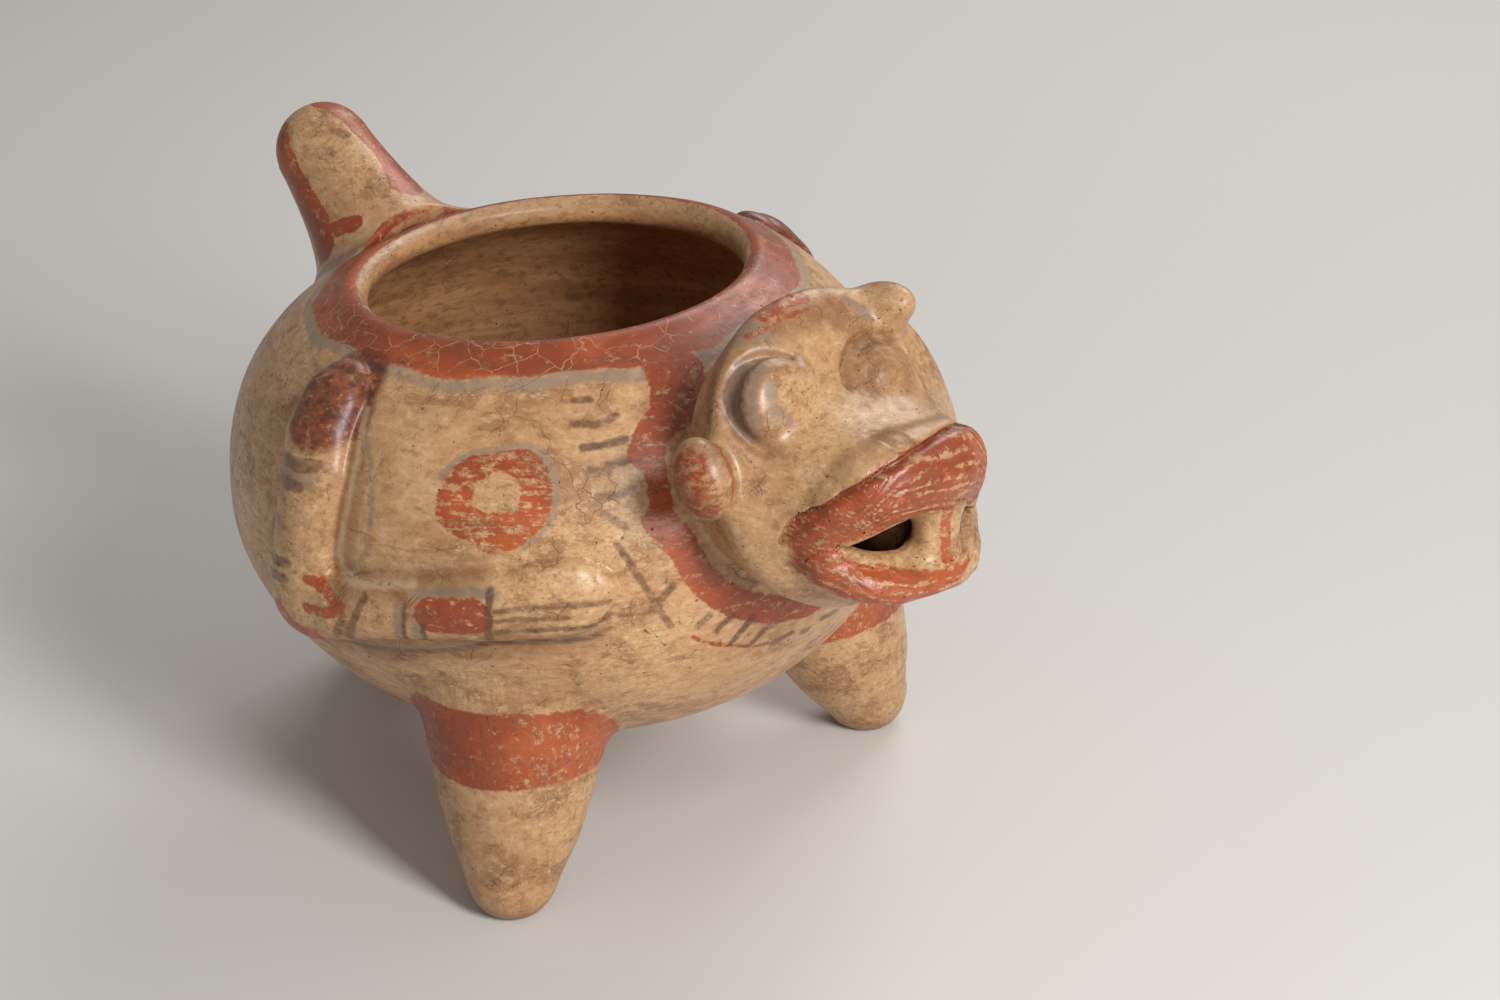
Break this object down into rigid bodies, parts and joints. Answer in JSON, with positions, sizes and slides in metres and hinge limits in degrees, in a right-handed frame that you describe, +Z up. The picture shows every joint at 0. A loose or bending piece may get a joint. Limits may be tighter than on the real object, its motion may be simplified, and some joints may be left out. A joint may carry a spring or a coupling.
{
  "type": "animal effigy tripod vessel",
  "caption": "Round earthenware bowl on three hollow conical legs, with an animal head in front, a tail behind and folded arms in relief on both sides.",
  "frame": {"origin": "on the ground under the three soles, at the middle of the vessel's outline seen from above", "axes": "+Z up, the animal looks along -Y with its tail at +Y, its right side is -X"},
  "size_m": [0.2456, 0.3198, 0.2103],
  "materials": {
    "buff_slip": "satin",
    "red_slip": "satin"
  },
  "bodies": {
    "root": {"bowl_lower": "buff_slip", "bowl_shoulder": "buff_slip", "rim_roll": "red_slip", "leg_front_right": "buff_slip", "leg_front_left": "buff_slip", "leg_rear": "buff_slip", "tail": "buff_slip", "head_shell": "buff_slip", "upper_lip": "red_slip", "lower_lip": "red_slip", "tongue": "buff_slip", "eye_right": "buff_slip", "eye_left": "buff_slip", "ear_right": "red_slip", "ear_left": "buff_slip", "upper_arm_right": "buff_slip", "forearm_right": "buff_slip", "paw_right": "buff_slip", "upper_arm_left": "buff_slip", "forearm_left": "buff_slip", "paw_left": "buff_slip"}
  },
  "joints": []
}
